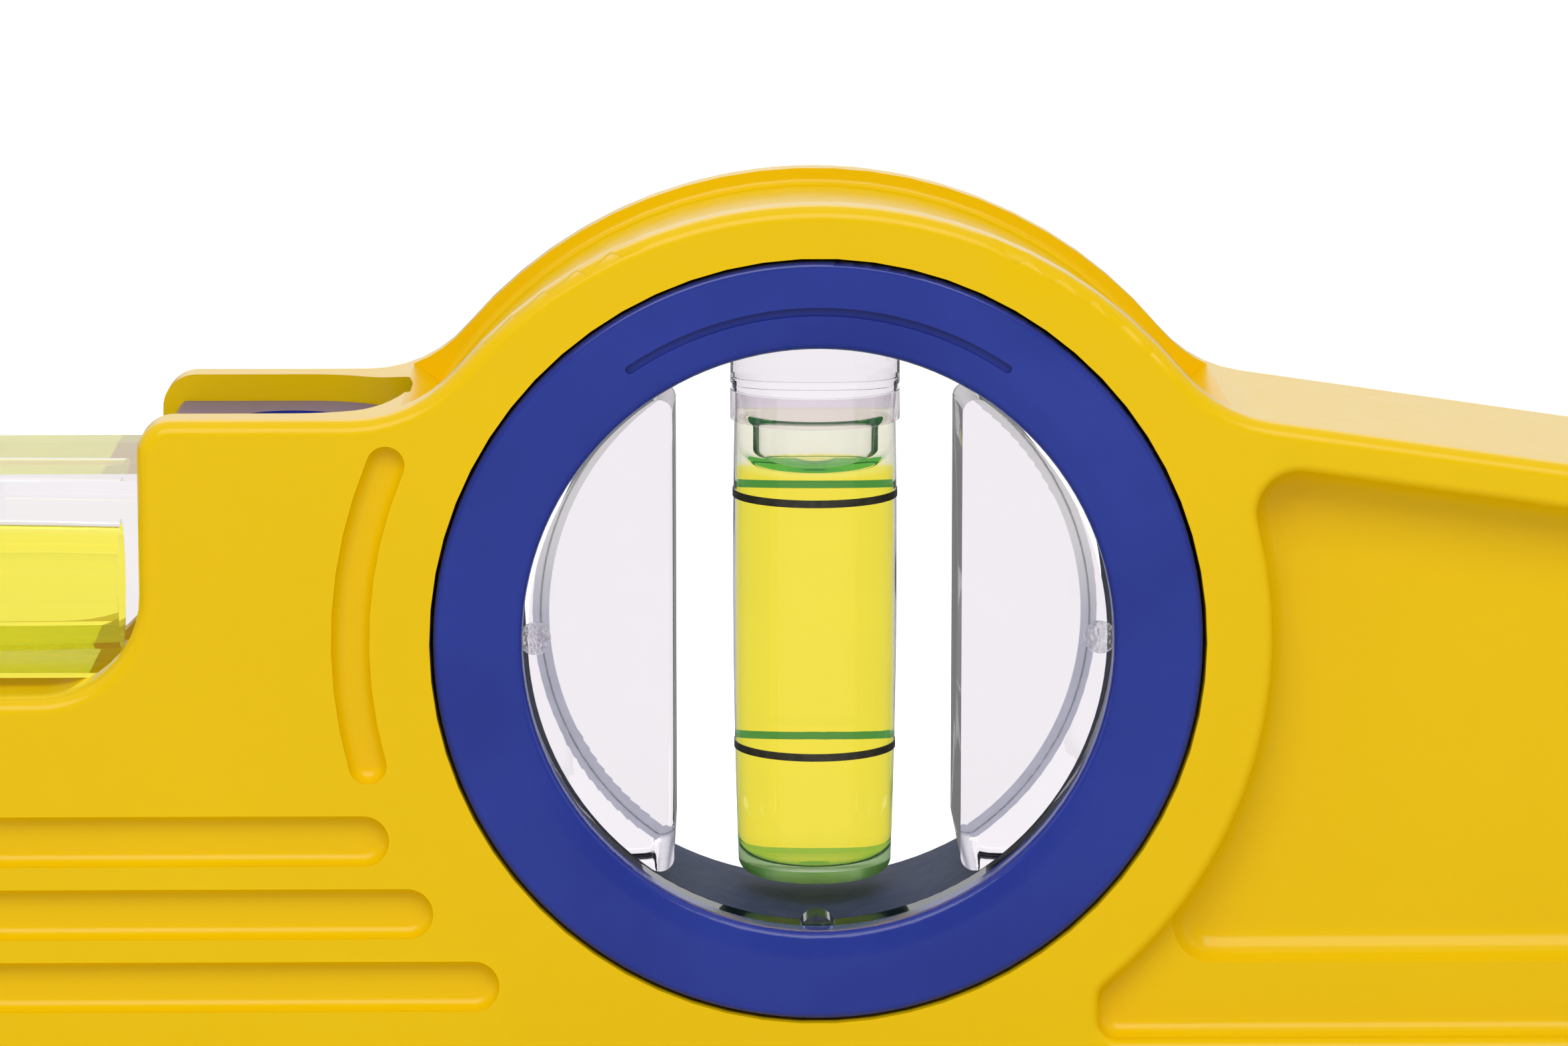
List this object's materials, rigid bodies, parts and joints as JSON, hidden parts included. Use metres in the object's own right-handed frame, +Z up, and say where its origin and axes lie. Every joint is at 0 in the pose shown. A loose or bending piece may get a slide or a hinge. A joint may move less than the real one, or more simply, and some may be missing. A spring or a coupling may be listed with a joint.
{
  "type": "spirit level",
  "caption": "Torpedo spirit level: die-cast body with two round vial units, a level vial in its top window, grip grooves and a magnetic base.",
  "frame": {"origin": "middle of the base, on the plane the level rests on", "axes": "+X along the level, towards the plumb vial; -Y is its front face; +Z up"},
  "size_m": [0.25, 0.022, 0.0529],
  "materials": {
    "yellow_coat": "satin",
    "blue_plastic": "satin",
    "clear_acrylic": "polished",
    "spirit": "polished",
    "bubble": "polished",
    "printed_lines": "matte",
    "magnet": "satin",
    "screw_steel": "satin"
  },
  "bodies": {
    "casting": {"body_casting": "yellow_coat", "base_magnets": "magnet", "level_block": "clear_acrylic", "level_plug_right": "clear_acrylic", "level_plug_left": "clear_acrylic", "level_spirit": "spirit", "level_lines": "printed_lines", "retainer_right": "blue_plastic", "retainer_left": "blue_plastic", "retainer_screws": "screw_steel", "plumb_bezel_front": "blue_plastic", "plumb_bezel_rear": "blue_plastic", "plumb_carrier": "clear_acrylic", "plumb_prism_right": "clear_acrylic", "plumb_prism_left": "clear_acrylic", "plumb_socket": "clear_acrylic", "plumb_vial_tube": "clear_acrylic", "plumb_vial_stopper": "clear_acrylic", "plumb_spirit": "spirit", "plumb_lines": "printed_lines", "angle_bezel_front": "blue_plastic", "angle_bezel_rear": "blue_plastic", "angle_carrier": "clear_acrylic", "angle_prism_right": "clear_acrylic", "angle_prism_left": "clear_acrylic", "angle_socket": "clear_acrylic", "angle_vial_tube": "clear_acrylic", "angle_vial_stopper": "clear_acrylic", "angle_spirit": "spirit", "angle_lines": "printed_lines"},
    "level_bubble": {"level_bubble": "bubble"},
    "plumb_bubble": {"plumb_bubble": "bubble"},
    "angle_bubble": {"angle_bubble": "bubble"}
  },
  "joints": [
    {"name": "level_bubble_slide", "type": "slide", "parent": "casting", "child": "level_bubble", "axis": [1, 0, 0], "range_m": [-0.0085, 0.0085], "stiffness_N_per_m": 0.2, "deforming": ["level_spirit"]},
    {"name": "plumb_bubble_slide", "type": "slide", "parent": "casting", "child": "plumb_bubble", "axis": [0, 0, 1], "range_m": [-0.0228, 0], "stiffness_N_per_m": 0.5, "springref_m": 0.02, "deforming": ["plumb_spirit"]},
    {"name": "angle_bubble_slide", "type": "slide", "parent": "casting", "child": "angle_bubble", "axis": [0.7071, 0, 0.7071], "range_m": [-0.0228, 0], "stiffness_N_per_m": 0.5, "springref_m": 0.02, "deforming": ["angle_spirit"]}
  ]
}
